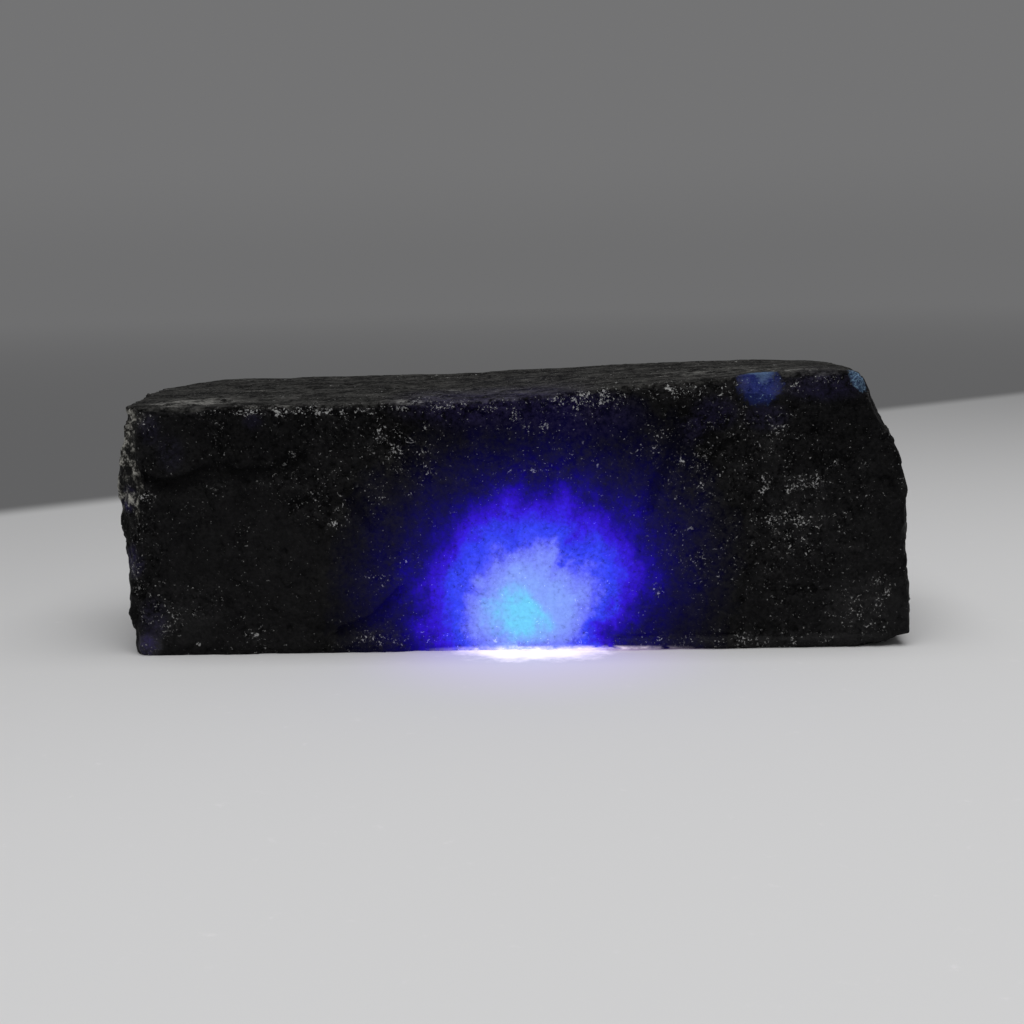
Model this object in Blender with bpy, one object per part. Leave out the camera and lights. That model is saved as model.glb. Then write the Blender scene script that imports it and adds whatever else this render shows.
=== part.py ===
"""A rough sapphire sawn into a block: one dark crystal with four sawn sides and two broken ends.

Lengths are in metres, and MM turns the millimetres of the tables into metres. +X runs along the
block, +Z is up, and the side with the large flakes looks along -Y. The origin is at the middle of
the footprint, on the surface that the block stands on.
"""

import math
import random

import bmesh
import bpy
from mathutils import Matrix, Vector, noise

MM = 0.001

LENGTH = 103.0 * MM  # of the sawn blank, before its ends break off
DEPTH = 31.0 * MM

# The block is sawn a little too deep below, and the last cut makes its flat base.
SAW_ALLOWANCE = 2.0 * MM
VOXEL = 0.7 * MM
SMOOTHING = 0.15
FINISHED_TRIANGLES = 6800
BASE_SNAP = 0.12 * MM
WELD = 0.02 * MM

# The top's front and back edges from left to right: x and z in millimetres. The front edge sags
# left of the middle, and the back edge drops at the right end.
FRONT_TOP_EDGE = (
    (-51.0, 31.1),
    (-22.0, 31.2),
    (-4.0, 31.4),
    (11.0, 32.6),
    (20.0, 33.2),
    (30.0, 34.0),
    (40.0, 34.3),
    (51.0, 34.0),
)
BACK_TOP_EDGE = (
    (-51.0, 31.8),
    (-40.0, 32.6),
    (-14.0, 32.7),
    (0.0, 33.1),
    (15.0, 33.7),
    (28.0, 34.0),
    (39.0, 33.7),
    (51.0, 31.7),
)

# Flat breaks: a point on each, in millimetres from the origin, and the way it faces.
BREAKS = {
    "right_crown": ((39.2, -15.5, 34.6), (0.66, -0.03, 0.75)),
    "right_shoulder": ((40.1, -15.5, 34.3), (0.88, -0.05, 0.474)),
    "right_brow": ((44.9, -15.5, 26.4), (0.962, -0.12, 0.245)),
    "right_end": ((46.45, -15.5, 20.0), (0.998, -0.05, 0.060)),
    "right_front_corner": ((47.1, -15.0, 12.0), (0.80, -0.60, 0.03)),
    "right_heel": ((41.2, -15.5, 0.0), (0.19, -0.05, -0.98)),
    "right_back_corner": ((44.0, 15.5, 16.0), (0.70, 0.71, -0.10)),
    "left_shoulder": ((-49.1, -15.5, 31.0), (-0.87, -0.05, 0.49)),
    "left_belly": ((-50.6, -10.0, 26.0), (-0.995, 0.02, 0.075)),
    "left_foot": ((-50.3, -10.0, 10.0), (-0.987, 0.05, -0.14)),
    "left_front_corner": ((-47.4, -15.5, 20.0), (-0.70, -0.71, 0.03)),
    "left_back_corner": ((-44.5, 15.5, 20.0), (-0.66, 0.74, 0.12)),
    "front_foot": ((22.0, -15.5, 1.5), (0.006, -0.86, -0.51)),
    "back_foot": ((20.0, 15.5, 4.0), (0.07, 0.80, -0.60)),
}

# Scooped flakes: the middle of each on the surface, the way it faces, its width, height and
# depth, and the turn of its width about the way it faces. Lengths in millimetres, turns in degrees.
FLAKES = {
    "blue_edge": ((29.9, -15.3, 33.0), (0.0, -0.80, 0.60), (6.6, 4.4, 1.3), 0),
    "blue_corner": ((41.6, -15.0, 32.4), (0.55, -0.70, 0.46), (3.6, 3.2, 0.8), 0),
    "left_upper": ((-39.6, -15.5, 25.8), (0.0, -1.0, 0.05), (10.5, 7.4, 0.9), -8),
    "second_upper": ((-31.0, -15.5, 25.6), (0.0, -1.0, 0.05), (8.6, 6.4, 0.8), 10),
    "slanted_low": ((-9.5, -15.5, 2.6), (0.03, -1.0, -0.05), (15.0, 9.5, 0.8), 32),
    "centre_shallow": ((9.0, -15.5, 24.0), (0.0, -1.0, 0.0), (14.0, 8.0, 0.45), -20),
    "right_groove": ((20.8, -15.5, 21.8), (0.1, -1.0, 0.0), (12.5, 2.6, 0.7), 68),
    "left_groove": ((-18.3, -15.5, 17.4), (0.0, -1.0, 0.0), (6.4, 1.5, 0.5), -66),
    "right_knuckle": ((43.2, -13.0, 29.2), (0.88, -0.25, 0.40), (10.0, 5.0, 0.8), 0),
    "left_bite": ((-48.4, -14.6, 2.0), (-0.80, -0.55, -0.24), (5.0, 4.0, 0.8), 0),
    "light_gap": ((7.0, -14.9, 0.0), (0.0, -0.45, -0.89), (36.0, 9.0, 0.5), 0),
    "left_end_hollow": ((-49.1, 4.0, 17.0), (-1.0, 0.0, 0.1), (17.0, 13.0, 1.7), 25),
    "right_end_hollow": ((48.0, 3.0, 13.0), (1.0, 0.0, 0.0), (20.0, 16.0, 1.6), -15),
    "top_left_dish": ((-41.0, -15.3, 31.0), (0.0, -0.6, 0.8), (7.0, 2.0, 0.5), 0),
    "top_right_dish": ((20.0, -15.3, 33.0), (0.0, -0.7, 0.7), (5.5, 2.4, 0.7), 0),
    "back_low": ((-30.0, 15.0, 4.0), (-0.05, 0.92, -0.38), (22.0, 11.0, 2.0), 8),
    "back_high": ((22.0, 15.2, 31.5), (0.0, 0.70, 0.71), (16.0, 6.0, 1.3), -4),
    "back_middle": ((8.0, 15.5, 15.0), (0.0, 1.0, 0.0), (18.0, 9.0, 0.6), 35),
}

# Small chips strung along the sawn edges: start, end, number of chips and the way the edge faces.
CHIPPED_EDGES = {
    "top_front_left": ((-44.0, -15.5, 31.1), (-4.0, -15.5, 31.3), 9, (0.0, -0.71, 0.71)),
    "top_front_right": ((-2.0, -15.5, 31.5), (39.0, -15.5, 34.3), 10, (0.0, -0.71, 0.71)),
    "top_back": ((-42.0, 15.5, 32.2), (42.0, 15.5, 33.6), 12, (0.0, 0.71, 0.71)),
    "bottom_front": ((-44.0, -15.5, 0.6), (-4.0, -15.5, 0.6), 8, (0.0, -0.85, -0.53)),
    "bottom_back": ((-40.0, 15.5, 0.4), (42.0, 15.5, 0.4), 10, (0.0, 0.85, -0.53)),
    "left_front": ((-47.6, -15.2, 4.0), (-47.6, -15.2, 27.0), 6, (-0.71, -0.71, 0.0)),
    "right_front": ((46.6, -15.2, 3.0), (46.0, -15.2, 24.0), 5, (0.71, -0.71, 0.0)),
}
CHIP_WIDTH = (1.8, 4.2)
CHIP_DEPTH = (0.25, 0.6)
CHIP_SEED = 7

# Angular pits torn out of the sawn sides: the corners of the area that they are strewn over, their
# number and the way they face.
PITTED_SIDES = {
    "front": ((-42.0, -15.5, 3.0), (44.0, -15.5, 28.0), 20, (0.0, -1.0, 0.0)),
    "back": ((-38.0, 15.5, 8.0), (40.0, 15.5, 28.0), 20, (0.0, 1.0, 0.0)),
}
PIT_WIDTH = (2.2, 5.0)
PIT_DEPTH = (0.25, 0.55)

# Where the blow fell that broke off the right end: the break's ripples run round it.
STRIKE = Vector((46.0, 8.0, 36.0)) * MM

STONE_COLOUR = (0.006, 0.006, 0.009, 1.0)
STONE_ROUGHNESS = 0.5


def clear_scene():
    """Starts from an empty scene."""
    for obj in list(bpy.data.objects):
        bpy.data.objects.remove(obj, do_unlink=True)


def new_object(name, bm):
    """Turns a bmesh into an object in the scene."""
    mesh = bpy.data.meshes.new(name)
    bm.to_mesh(mesh)
    bm.free()
    obj = bpy.data.objects.new(name, mesh)
    bpy.context.scene.collection.objects.link(obj)
    return obj


def blank_ring(bm, y, top_edge):
    """The outline of the blank's front or back: the top edge from left to right, then the underside."""
    ring = [bm.verts.new((x * MM, y, z * MM)) for x, z in top_edge]
    ring.append(bm.verts.new((LENGTH / 2, y, -SAW_ALLOWANCE)))
    ring.append(bm.verts.new((-LENGTH / 2, y, -SAW_ALLOWANCE)))
    return ring


def sawn_blank():
    """The block as the saw leaves it, before anything breaks off."""
    bm = bmesh.new()
    front = blank_ring(bm, -DEPTH / 2, FRONT_TOP_EDGE)
    back = blank_ring(bm, DEPTH / 2, BACK_TOP_EDGE)
    bm.faces.new(front)
    edges = bm.edges[:]
    bm.faces.new(back)
    back_edges = [edge for edge in bm.edges if edge not in edges]
    bmesh.ops.bridge_loops(bm, edges=edges + back_edges)
    bmesh.ops.recalc_face_normals(bm, faces=bm.faces)
    return bm


def cut_flat(bm, point, facing):
    """Takes away all that lies beyond a plane and closes the cut with a flat face."""
    geometry = bm.verts[:] + bm.edges[:] + bm.faces[:]
    cut = bmesh.ops.bisect_plane(
        bm, geom=geometry, plane_co=point, plane_no=facing, clear_outer=True
    )
    rim = [item for item in cut["geom_cut"] if isinstance(item, bmesh.types.BMEdge)]
    bmesh.ops.edgeloop_fill(bm, edges=rim)


def facing_frame(facing, turn):
    """A rotation whose Z is the way a surface faces, turned about it by an angle in degrees."""
    return facing.to_track_quat("Z", "Y").to_matrix().to_4x4() @ Matrix.Rotation(
        math.radians(turn), 4, "Z"
    )


def flake_cutter(name, middle, facing, size, turn, smoothness=4):
    """A lens-shaped cutter that leaves a scoop of the given width, height and depth."""
    width, height, depth = (value * MM for value in size)
    facing = Vector(facing).normalized()
    # A ball squashed along its axis: its cap of this depth has the flake's width and height.
    sink = 3.0
    across = 1.0 / math.sqrt(1.0 - (sink / (sink + 1.0)) ** 2)
    scale = Matrix.Diagonal(
        (width / 2 * across, height / 2 * across, depth * (sink + 1.0), 1.0)
    )
    bm = bmesh.new()
    bmesh.ops.create_icosphere(bm, subdivisions=smoothness, radius=1.0)
    centre = Vector(middle) * MM + facing * depth * sink
    place = Matrix.Translation(centre) @ facing_frame(facing, turn) @ scale
    bmesh.ops.transform(bm, matrix=place, verts=bm.verts)
    cutter = new_object(name, bm)
    cutter.hide_render = True
    cutter.display_type = "WIRE"
    return cutter


def small_cutter(draw, name, middle, facing, width, depth):
    """A cutter for a small angular chip, tilted and turned at random."""
    across = draw.uniform(*width)
    tilt = Vector([draw.uniform(-0.3, 0.3) for _ in range(3)])
    size = (across, across * draw.uniform(0.5, 0.9), draw.uniform(*depth))
    return flake_cutter(name, middle, Vector(facing) + tilt, size, draw.uniform(0, 180), 2)


def edge_chips(draw):
    """Cutters for small chips at random places along each sawn edge."""
    for edge, (start, end, number, facing) in CHIPPED_EDGES.items():
        for index in range(number):
            share = (index + draw.uniform(0.1, 0.9)) / number
            middle = Vector(start).lerp(Vector(end), share)
            yield small_cutter(draw, f"chip_{edge}_{index}", middle, facing, CHIP_WIDTH, CHIP_DEPTH)


def side_pits(draw):
    """Cutters for pits strewn over the sawn sides."""
    for side, (low, high, number, facing) in PITTED_SIDES.items():
        for index in range(number):
            middle = [draw.uniform(near, far) for near, far in zip(low, high)]
            yield small_cutter(draw, f"pit_{side}_{index}", middle, facing, PIT_WIDTH, PIT_DEPTH)


def evaluated_mesh(obj):
    """A copy of the object's mesh with its modifiers applied."""
    graph = bpy.context.evaluated_depsgraph_get()
    return bpy.data.meshes.new_from_object(obj.evaluated_get(graph))


def chip_away(blank):
    """Cuts the flakes, chips and pits, and spreads an even net of points over the stone."""
    chips = bpy.data.collections.new("chips")
    draw = random.Random(CHIP_SEED)
    cutters = [flake_cutter(name, *row) for name, row in FLAKES.items()]
    for cutter in cutters + list(edge_chips(draw)) + list(side_pits(draw)):
        chips.objects.link(cutter)
    cut = blank.modifiers.new("chips", "BOOLEAN")
    cut.operation = "DIFFERENCE"
    cut.operand_type = "COLLECTION"
    cut.collection = chips
    net = blank.modifiers.new("net", "REMESH")
    net.mode = "VOXEL"
    net.voxel_size = VOXEL
    bpy.context.view_layer.update()
    return evaluated_mesh(blank)


def wave(point, size, seed):
    """Smooth noise between about -1 and 1, with hills of the given size."""
    return noise.noise(point / size + Vector((seed, seed * 0.37, seed * 0.71)))


def terrace(value, steps):
    """Turns a slope into flat treads with short risers between them."""
    scaled = value * steps
    tread = math.floor(scaled)
    riser = min(1.0, (scaled - tread) / 0.35)
    return (tread + riser * riser * (3.0 - 2.0 * riser)) / steps


def chiselled(point, size, slope):
    """Relief of flat facets of the given size, tilted each its own way and meeting in ridges."""
    place = point / size
    levels = []
    for spot in noise.voronoi(place)[1]:
        tilt = noise.cell_vector(spot * 9.0) - Vector((0.5, 0.5, 0.5))
        levels.append(2.0 * slope * size * tilt.dot(place - spot))
    return min(levels)


def ledged_relief(point):
    """Relief of the left end: stepped ledges and coarse facets, with lumps on them."""
    ledges = terrace(wave(point, 11.0 * MM, 3.1) + 0.3 * wave(point, 5.0 * MM, 8.3), 3.0)
    lumps = abs(wave(point, 4.0 * MM, 5.7))
    return (1.1 * ledges - 0.7 * lumps) * MM + chiselled(point, 10.0 * MM, 0.12)


def shell_relief(point):
    """Relief of the right end: a shell-like break with low ripples and a few steps."""
    ripples = math.sin((point - STRIKE).length / (1.1 * MM))
    steps = terrace(wave(point, 13.0 * MM, 6.2), 2.0)
    return (0.13 * ripples + 0.6 * steps + 0.12 * wave(point, 4.0 * MM, 9.4)) * MM


def sawn_relief(point):
    """Relief of a sawn side: a slow wander of the blade, and shallow facets where it tore."""
    wander = 0.22 * wave(point, 16.0 * MM, 1.3) * MM
    return wander + 0.5 * chiselled(point, 7.0 * MM, 0.05)


def roughen(mesh):
    """Moves each point of the stone along its normal by the relief of the side it is on."""
    bm = bmesh.new()
    bm.from_mesh(mesh)
    bm.normal_update()
    moves = []
    for vert in bm.verts:
        end = max(0.0, min(1.0, (abs(vert.normal.x) - 0.35) / 0.4))
        broken = ledged_relief(vert.co) if vert.co.x < 0.0 else shell_relief(vert.co)
        relief = end * broken + (1.0 - end) * sawn_relief(vert.co)
        moves.append(vert.normal * relief)
    for vert, move in zip(bm.verts, moves):
        vert.co += move
    bmesh.ops.smooth_vert(
        bm, verts=bm.verts, factor=SMOOTHING, use_axis_x=True, use_axis_y=True, use_axis_z=True
    )
    return bm


def thinned(stone):
    """The stone with few triangles where it is flat and more along edges and ledges."""
    thin = stone.modifiers.new("thin", "DECIMATE")
    thin.ratio = FINISHED_TRIANGLES / sum(len(face.vertices) - 2 for face in stone.data.polygons)
    return evaluated_mesh(stone)


def saw_base(mesh):
    """Gives the stone its flat sawn base at z = 0 and puts the origin at its middle."""
    bm = bmesh.new()
    bm.from_mesh(mesh)
    for vert in bm.verts:
        if abs(vert.co.z) < BASE_SNAP:
            vert.co.z = 0.0
    cut_flat(bm, (0.0, 0.0, 0.0), (0.0, 0.0, -1.0))
    bmesh.ops.remove_doubles(bm, verts=bm.verts, dist=WELD)
    bmesh.ops.triangulate(bm, faces=bm.faces)
    for axis in (0, 1):
        places = [vert.co[axis] for vert in bm.verts]
        shift = Vector((0.0, 0.0, 0.0))
        shift[axis] = -(min(places) + max(places)) / 2
        bmesh.ops.translate(bm, verts=bm.verts, vec=shift)
    return bm


def stone_material():
    """Dark, faintly blue, half-dull crystal."""
    material = bpy.data.materials.new("sapphire")
    material.use_nodes = True
    shader = material.node_tree.nodes["Principled BSDF"]
    shader.inputs["Base Color"].default_value = STONE_COLOUR
    shader.inputs["Roughness"].default_value = STONE_ROUGHNESS
    shader.inputs["Metallic"].default_value = 0.0
    return material


def rough_sapphire():
    """The whole stone, in the order it happened: sawn, broken, flaked, weathered, sawn flat below."""
    bm = sawn_blank()
    for point, facing in BREAKS.values():
        cut_flat(bm, Vector(point) * MM, Vector(facing).normalized())
    blank = new_object("sawn_blank", bm)
    bm = roughen(chip_away(blank))
    bpy.data.objects.remove(blank)
    rough = new_object("rough_stone", bm)
    bm = saw_base(thinned(rough))
    bpy.data.objects.remove(rough)
    stone = new_object("rough_sapphire", bm)
    stone.data.materials.append(stone_material())
    stone.data.shade_smooth()
    stone.data.set_sharp_from_angle(angle=math.radians(32))


def main():
    clear_scene()
    rough_sapphire()


main()
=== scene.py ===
"""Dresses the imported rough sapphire: its worn skin, its finish and the stage it stands on."""

import math

import bmesh
import bpy
from bpy.props import FloatProperty, FloatVectorProperty, IntProperty, PointerProperty
from bpy.types import Operator, Panel, PropertyGroup
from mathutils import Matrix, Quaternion, Vector, noise


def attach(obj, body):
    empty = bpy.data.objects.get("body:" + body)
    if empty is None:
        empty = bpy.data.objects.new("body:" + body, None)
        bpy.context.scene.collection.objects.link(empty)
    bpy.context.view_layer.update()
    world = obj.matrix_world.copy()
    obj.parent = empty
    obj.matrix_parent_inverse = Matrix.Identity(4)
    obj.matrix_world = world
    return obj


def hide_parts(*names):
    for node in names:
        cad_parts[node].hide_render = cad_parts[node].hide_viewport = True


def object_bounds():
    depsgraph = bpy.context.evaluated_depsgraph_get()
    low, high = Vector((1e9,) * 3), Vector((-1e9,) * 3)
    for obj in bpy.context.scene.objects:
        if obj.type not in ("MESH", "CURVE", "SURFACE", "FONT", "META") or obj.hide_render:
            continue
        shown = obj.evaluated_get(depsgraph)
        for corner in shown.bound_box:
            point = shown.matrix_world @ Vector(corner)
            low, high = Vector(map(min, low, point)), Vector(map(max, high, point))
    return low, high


bl_info = {
    "name": "Rough Sapphire",
    "version": (1, 0, 0),
    "blender": (4, 5, 0),
    "location": "View3D > Sidebar > Sapphire",
    "description": "Grain, wear and inner light for a sawn block of rough sapphire",
    "category": "Object",
}

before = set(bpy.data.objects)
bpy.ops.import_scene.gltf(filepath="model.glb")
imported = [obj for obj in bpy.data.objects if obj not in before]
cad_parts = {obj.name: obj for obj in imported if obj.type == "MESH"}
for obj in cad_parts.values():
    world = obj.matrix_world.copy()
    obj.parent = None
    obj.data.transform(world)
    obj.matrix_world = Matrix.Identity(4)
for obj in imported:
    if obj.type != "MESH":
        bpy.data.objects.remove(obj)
STONE_LOW, STONE_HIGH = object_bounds()

MM = 0.001
NODE = "rough_sapphire"
BODY = "root"
PIECE = "sapphire_stone"
BASE_BAND = 0.3 * MM

# Cracks and ledges of the front face: points as (x, z) from left to right or downwards, how far
# the hollow reaches to the left of that way, how far to its right, and its depth, in millimetres.
FRONT_LINES = (
    (
        (
            (-45.9, 22.6),
            (-42.2, 21.5),
            (-38.6, 22.9),
            (-36.2, 23.8),
            (-34.0, 22.9),
            (-30.4, 23.0),
            (-26.6, 24.9),
        ),
        1.0,
        2.2,
        0.75,
    ),
    (((-36.6, 27.4), (-36.3, 25.4), (-36.2, 24.0)), 0.9, 0.9, 0.3),
    (((-20.6, 20.2), (-19.2, 17.6), (-17.8, 15.6)), 1.0, 0.6, 0.4),
    (((-21.9, 2.9), (-18.6, 4.2), (-16.4, 5.7), (-14.6, 7.8)), 0.5, 2.0, 0.6),
    (((20.4, 26.4), (18.9, 23.2), (17.4, 20.4), (16.0, 17.4)), 1.2, 1.6, 0.65),
    (((26.8, 26.0), (24.4, 24.0), (22.8, 21.6)), 0.8, 0.8, 0.4),
    (((9.3, 13.6), (8.2, 11.9), (6.6, 11.5), (6.0, 10.2)), 0.4, 0.4, 0.35),
    (((-2.0, 1.7), (12.0, 1.6), (30.0, 1.5), (46.0, 1.7)), 0.3, 0.6, 0.2),
)

# Places on the front face where dust and white flecks crowd: x, z, half width, half height in
# millimetres, and strength, which is less than 0 where flecks keep away.
FLECK_CLUSTERS = (
    (29.0, 18.0, 19.0, 17.0, 0.30),
    (36.0, 12.0, 12.0, 10.0, 0.12),
    (-2.0, 26.0, 50.0, 9.0, 0.16),
    (-14.0, 30.9, 34.0, 1.9, 0.50),
    (24.0, 32.4, 22.0, 1.8, 0.42),
    (0.0, 0.6, 48.0, 2.6, 0.34),
    (-46.0, 14.0, 3.4, 18.0, 0.30),
    (-22.0, 20.0, 11.0, 6.0, 0.14),
    (-15.4, 26.4, 3.6, 3.2, 0.80),
    (-12.0, 24.0, 4.4, 4.4, 0.45),
    (-26.0, 19.8, 3.6, 3.0, 0.26),
    (-21.6, 17.0, 2.0, 2.0, 0.45),
    (-16.4, 20.2, 1.4, 1.4, 0.7),
    (-17.6, 1.9, 5.0, 2.2, 0.55),
    (-32.2, 2.6, 2.0, 1.6, 0.6),
    (-39.5, 6.0, 5.0, 3.0, 0.30),
    (-43.6, 4.6, 3.0, 3.6, 0.60),
    (-45.4, 20.2, 1.8, 1.8, 0.7),
    (-45.9, 1.2, 1.4, 1.2, 0.5),
    (-47.1, 10.0, 0.9, 3.6, 0.75),
    (-46.6, 5.4, 0.9, 2.6, 0.55),
    (-36.2, 28.2, 1.6, 1.4, 0.7),
    (-32.2, 30.2, 1.5, 0.8, 1.9),
    (-29.1, 30.2, 1.2, 0.8, 1.9),
    (-22.0, 30.6, 4.0, 1.2, 0.7),
    (-10.0, 31.0, 6.0, 1.4, 0.60),
    (10.4, 31.8, 7.0, 2.2, 1.00),
    (8.6, 30.0, 5.0, 2.2, 0.30),
    (19.3, 32.7, 1.3, 0.9, 1.1),
    (20.6, 31.4, 4.0, 2.2, 0.25),
    (0.6, 29.2, 1.2, 1.2, 0.9),
    (3.8, 28.0, 1.0, 1.0, 0.9),
    (7.2, 26.6, 1.0, 1.0, 0.9),
    (16.4, 25.0, 2.0, 1.8, 0.35),
    (22.4, 24.4, 2.0, 1.8, 0.30),
    (32.0, 27.2, 1.6, 3.4, 0.60),
    (30.2, 20.6, 1.6, 1.4, 0.9),
    (34.0, 20.6, 2.0, 1.6, 0.9),
    (37.2, 21.4, 1.2, 1.2, 0.9),
    (33.0, 15.8, 5.0, 2.4, 0.66),
    (34.4, 12.6, 3.4, 2.4, 0.40),
    (44.6, 7.4, 1.8, 2.4, 0.9),
    (41.4, 4.4, 5.6, 3.4, 0.62),
    (19.8, 15.2, 1.0, 1.0, 0.9),
    (17.4, 7.6, 1.2, 1.2, 0.9),
    (22.4, 9.6, 3.2, 3.0, 0.30),
    (30.0, 1.2, 16.0, 1.8, 0.45),
    (-45.4, 29.4, 2.6, 2.0, 0.60),
    (-25.0, 30.3, 17.0, 0.9, 0.48),
    (30.2, 31.8, 3.4, 3.0, -0.55),
    (32.5, 32.8, 0.8, 0.7, 0.8),
    (34.0, 32.6, 0.9, 0.7, 0.7),
    (36.4, 33.2, 0.8, 0.6, 0.6),
    (38.2, 33.2, 3.0, 0.7, 0.5),
    (43.2, 31.0, 0.7, 1.2, 0.8),
)

# Thin scratches of the front face that hold pale dust: points as (x, z) in millimetres, then the
# strip of x that they all lie in, the distance at which their dust begins and is full, and its
# strength.
SCRATCHES = (
    ((-19.4, 9.7), (-14.4, 9.5)),
    ((-17.5, 7.7), (-15.8, 9.2), (-14.4, 9.5)),
    ((-12.0, 12.6), (-11.7, 10.6)),
    ((-14.2, 11.2), (-13.0, 11.7)),
)
SCRATCHED_STRIP = (-21.0, -10.0)
SCRATCH_REACH = (0.34, 0.10)
SCRATCH_STRENGTH = 0.65

# Broad lighter and darker places of the front face: x, z, half width, half height in
# millimetres, and how much lighter, or darker where it is less than 0. The long row along the
# bottom edge is painted light: it lightens the strip there as if lit from the floor.
TONE_AND_FLOOR_LIGHT_PATCHES = (
    (0.0, 27.6, 52.0, 7.4, -0.080),
    (-34.5, 26.7, 14.0, 4.4, -0.020),
    (-33.0, 10.6, 15.0, 10.0, 0.065),
    (-41.2, 26.9, 3.2, 2.6, 0.050),
    (-46.0, 29.4, 2.4, 2.0, 0.200),
    (-47.2, 12.0, 1.4, 2.6, 0.220),
    (-46.0, 1.3, 2.2, 1.7, 1.900),
    (-4.4, 28.0, 14.0, 4.6, -0.060),
    (-15.0, 24.6, 7.0, 6.0, -0.035),
    (10.0, 28.0, 9.0, 5.0, -0.060),
    (22.0, 26.0, 6.0, 6.0, -0.055),
    (26.9, 24.6, 5.0, 2.4, -0.045),
    (38.5, 27.6, 8.5, 7.4, -0.080),
    (37.5, 23.3, 5.0, 3.4, -0.050),
    (45.6, 23.5, 2.4, 5.0, -0.030),
    (-22.4, 18.6, 9.0, 4.6, -0.060),
    (34.5, 16.6, 5.0, 6.6, 0.090),
    (31.2, 25.6, 1.7, 4.8, 0.085),
    (42.8, 10.9, 5.4, 10.0, 0.040),
    (43.0, 4.6, 7.4, 5.4, 0.250),
    (29.0, 10.3, 4.6, 4.4, -0.035),
    (-42.2, 3.6, 7.0, 4.0, 0.190),
    (-30.8, 1.6, 12.0, 2.4, 0.080),
    (-18.5, 2.4, 5.4, 2.6, 0.100),
    (-20.6, 22.0, 2.6, 4.6, 0.020),
    # Painted light: the strip along the bottom edge, lightened as if lit from the floor.
    (30.0, 0.8, 22.0, 1.3, 0.260),
)

# Bright single flecks of the front face: x, z in millimetres, then their half size and strength.
BRIGHT_SPOTS = (
    (-35.1, 27.4),
    (-12.8, 19.7),
    (-1.8, 29.0),
    (1.6, 27.7),
    (5.2, 26.3),
    (5.4, 21.6),
    (-7.5, 17.6),
    (-10.6, 28.1),
    (19.0, 32.6),
    (20.4, 23.4),
    (22.6, 20.6),
    (19.5, 14.3),
    (30.1, 19.6),
    (33.3, 19.4),
    (36.3, 20.4),
    (17.3, 6.9),
    (39.1, 23.0),
    (45.5, 6.5),
    (-22.1, 16.3),
    (-24.7, 11.2),
    (-40.1, 5.4),
    (-33.7, 2.5),
    (-39.8, 1.4),
    (25.0, 2.3),
    (-27.1, 25.0),
)
SPOT_SIZE = 0.55
SPOT_STRENGTH = 1.3
ALL_FLECKS = FLECK_CLUSTERS + tuple(
    (x, z, SPOT_SIZE, SPOT_SIZE, SPOT_STRENGTH) for x, z in BRIGHT_SPOTS
)

# Where violet-blue shows through the skin: x, z, half width, half height, strength.
VIOLET_PATCHES = (
    (37.4, 32.2, 6.4, 2.4, 0.55),
    (24.4, 29.2, 3.6, 2.6, 0.6),
    (30.6, 28.6, 3.4, 2.2, 0.5),
    (21.6, 27.0, 2.4, 2.4, 0.5),
    (-3.0, 31.4, 14.0, 5.0, 0.9),
    (9.0, 29.0, 9.0, 4.0, 0.7),
    (-44.4, 28.4, 2.0, 2.6, 0.30),
    (-42.0, 25.4, 2.2, 3.0, 0.22),
    (-31.6, 29.2, 1.6, 1.6, 0.3),
    (-47.2, 12.0, 1.4, 2.6, 1.1),
    (-46.1, 1.4, 2.0, 1.8, 1.7),
    (-45.2, 4.6, 2.4, 3.6, 0.45),
    (-48.0, 19.6, 1.4, 2.0, 1.4),
)

# The clean blue flakes along the front edges: x, y, z, half width, half depth, half height in
# millimetres, lean in degrees, share of frosted grain and strength of the pale crown, a painted
# highlight along the upper rim.
BLUE_FLAKES = (
    (29.9, -15.6, 33.2, 2.90, 3.2, 3.2, 0.0, 0.10, 0.50),
    (41.45, -14.6, 32.75, 0.72, 3.0, 1.55, 34.0, 0.85, 0.2),
)

# Pale dust that the saw dragged over the top: x, y, half length, half width, strength.
TOP_STREAKS = (
    (-43.0, -12.4, 2.6, 2.6, 1.0),
    (-38.8, -11.2, 2.4, 2.2, 0.9),
    (-40.4, -8.8, 6.5, 3.4, 0.45),
    (-34.2, 0.4, 2.6, 1.5, 0.7),
    (-30.6, -14.6, 4.4, 1.6, 0.8),
    (-12.6, -14.2, 2.4, 1.6, 0.7),
    (-8.0, -5.0, 4.0, 1.6, 0.3),
    (-40.0, -9.0, 9.0, 6.0, 0.25),
    (26.0, -6.0, 12.0, 7.0, 0.32),
    (34.6, -11.0, 4.0, 3.0, 0.45),
)

# Where the left end swells out again under its ledge: height, half height and how far, in
# millimetres.
LEFT_SWELL = (11.2, 4.6, 0.55)

# Single pale grains in the crust of the left end: x, y, z, reach, strength.
RIND_GRAINS = (
    (-47.3, -14.2, 28.4, 0.9, 0.9),
    (-48.4, -13.6, 26.2, 0.6, 0.5),
    (-48.2, -13.8, 24.2, 0.7, 0.5),
    (-48.0, -14.0, 19.6, 1.2, 0.6),
    (-47.0, -14.2, 31.0, 0.8, 0.4),
)

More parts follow.
